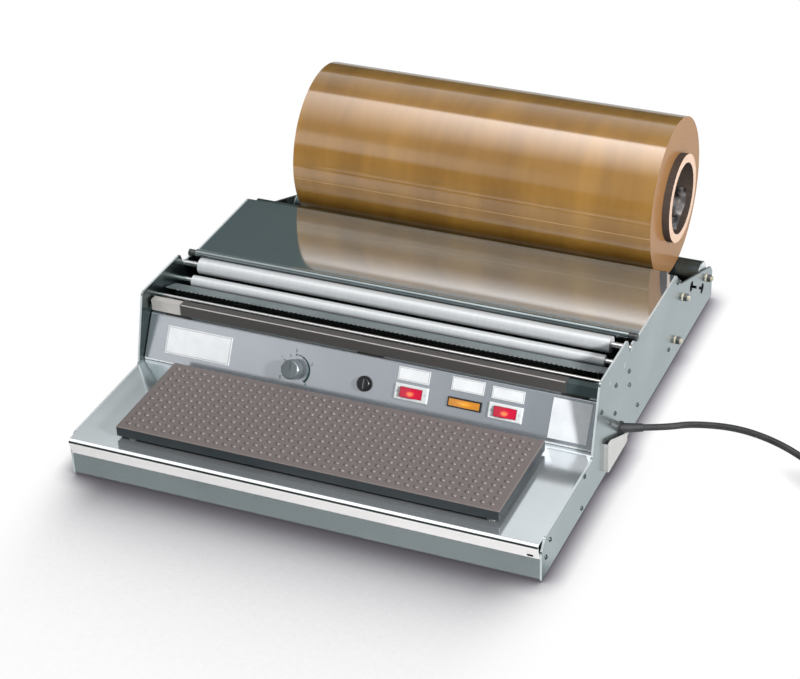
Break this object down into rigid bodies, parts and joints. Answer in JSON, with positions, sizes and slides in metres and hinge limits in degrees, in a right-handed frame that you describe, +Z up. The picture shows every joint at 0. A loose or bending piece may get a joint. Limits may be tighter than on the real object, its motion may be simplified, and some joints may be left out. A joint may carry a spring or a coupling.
{
  "type": "film dispenser",
  "caption": "Table-top stretch film dispenser: folded steel body with a tray, a heated sealing plate, a hot cutting bar, guide rollers and a film roll on support rollers.",
  "frame": {"origin": "bottom centre of the machine's bounding box with its film roll, on the table and without the cord", "axes": "+Z up, +Y towards the film roll at the back, +X to the right as the user sees it from the front"},
  "size_m": [0.839, 0.584, 0.2223],
  "materials": {
    "panel": "polished",
    "inner_sheet": "satin",
    "foot_rubber": "matte",
    "hot_plate_coat": "dark non-stick coat",
    "heater_mat": "matte",
    "ceramic": "matte",
    "black_plastic": "matte",
    "bright_steel": "ground",
    "knob_metal": "satin",
    "fuse_glass": "clear",
    "white_plastic": "gloss",
    "red_rocker": "gloss",
    "amber_lens": "gloss",
    "bar_aluminium": "satin",
    "sealing_tape": "woven",
    "dark_sheet": "satin",
    "zinc_sheet": "galvanised",
    "blade_steel": "ground",
    "roller_aluminium": "satin",
    "mirror_sheet": "mirror",
    "roller_zinc": "zinc plated",
    "hub_plastic": "matte",
    "bolt_steel": "zinc plated",
    "washer_brass": "yellow zinc",
    "film": "clear film wound in layers",
    "core_board": "matte",
    "cord_rubber": "matte"
  },
  "bodies": {
    "chassis": {"side_panel_right": "panel", "side_panel_left": "panel", "tray": "panel", "control_fascia": "panel", "bottom_plate": "inner_sheet", "rear_bulkhead": "inner_sheet", "rear_cross_member": "inner_sheet", "feet": "foot_rubber", "hot_plate": "hot_plate_coat", "hot_plate_heater": "heater_mat", "hot_plate_spacers": "ceramic", "thermostat_body": "black_plastic", "thermostat_nut": "bright_steel", "fuse_holder": "black_plastic", "fuse_nut": "black_plastic", "fuse_link": "fuse_glass", "switch_cutter_housing": "white_plastic", "switch_plate_housing": "white_plastic", "lamp_housing": "black_plastic", "lamp_lens": "amber_lens", "seal_bar": "bar_aluminium", "seal_bar_cover": "sealing_tape", "seal_bar_heater": "bright_steel", "seal_bar_blocks": "ceramic", "film_rod": "bright_steel", "well_pan": "dark_sheet", "blade_plate": "zinc_sheet", "cutter_blade": "blade_steel", "guide_axle_front": "bright_steel", "guide_axle_back": "bright_steel", "top_plate": "mirror_sheet", "plate_rod": "bright_steel", "support_axle_front": "bright_steel", "support_axle_back": "bright_steel", "axle_bolts": "washer_brass", "axle_nuts": "bolt_steel", "axle_washers": "bolt_steel", "tie_rod": "bright_steel", "cord_grommet": "cord_rubber", "cord_guard": "panel", "terminal_block": "white_plastic", "power_cord": "cord_rubber", "cord_coil": "cord_rubber", "mains_plug": "cord_rubber"},
    "film": {"film_roll": "film", "film_core": "core_board"},
    "support_front": {"support_roller_front": "roller_zinc", "support_hubs_front": "hub_plastic"},
    "support_back": {"support_roller_back": "roller_zinc", "support_hubs_back": "hub_plastic"},
    "guide_front": {"guide_roller_front": "roller_aluminium"},
    "guide_back": {"guide_roller_back": "roller_aluminium"},
    "knob": {"thermostat_knob": "knob_metal", "thermostat_shaft": "bright_steel"},
    "fuse_cap": {"fuse_cap": "black_plastic"},
    "rocker_cutter": {"switch_cutter_rocker": "red_rocker"},
    "rocker_plate": {"switch_plate_rocker": "red_rocker"}
  },
  "joints": [
    {"name": "film_spin", "type": "hinge", "parent": "chassis", "child": "film", "pos_m": [0, 0.20699, 0.13726], "axis": [1, 0, 0], "continuous": true},
    {"name": "support_front_spin", "type": "hinge", "parent": "chassis", "child": "support_front", "pos_m": [0, 0.13769, 0.062], "axis": [1, 0, 0], "continuous": true},
    {"name": "support_back_spin", "type": "hinge", "parent": "chassis", "child": "support_back", "pos_m": [0, 0.22469, 0.0365], "axis": [1, 0, 0], "continuous": true},
    {"name": "guide_front_spin", "type": "hinge", "parent": "chassis", "child": "guide_front", "pos_m": [0, -0.05481, 0.0945], "axis": [1, 0, 0], "continuous": true},
    {"name": "guide_back_spin", "type": "hinge", "parent": "chassis", "child": "guide_back", "pos_m": [0, -0.03681, 0.1025], "axis": [1, 0, 0], "continuous": true},
    {"name": "thermostat_turn", "type": "hinge", "parent": "chassis", "child": "knob", "pos_m": [-0.074, -0.12909, 0.06421], "axis": [0, 0.8732, -0.4874], "range_deg": [0, 300]},
    {"name": "fuse_cap_turn", "type": "hinge", "parent": "chassis", "child": "fuse_cap", "pos_m": [0.001, -0.12909, 0.06421], "axis": [0, -0.8732, 0.4874], "range_deg": [0, 90]},
    {"name": "rocker_cutter_tip", "type": "hinge", "parent": "chassis", "child": "rocker_cutter", "pos_m": [0.0505, -0.12909, 0.06421], "axis": [0, -0.4874, -0.8732], "range_deg": [0, 12]},
    {"name": "rocker_plate_tip", "type": "hinge", "parent": "chassis", "child": "rocker_plate", "pos_m": [0.148, -0.12909, 0.06421], "axis": [0, -0.4874, -0.8732], "range_deg": [0, 12]}
  ],
  "couplings": [
    {"joint": "support_front_spin", "follows": "film_spin", "ratio": -5},
    {"joint": "support_back_spin", "follows": "film_spin", "ratio": -5}
  ]
}
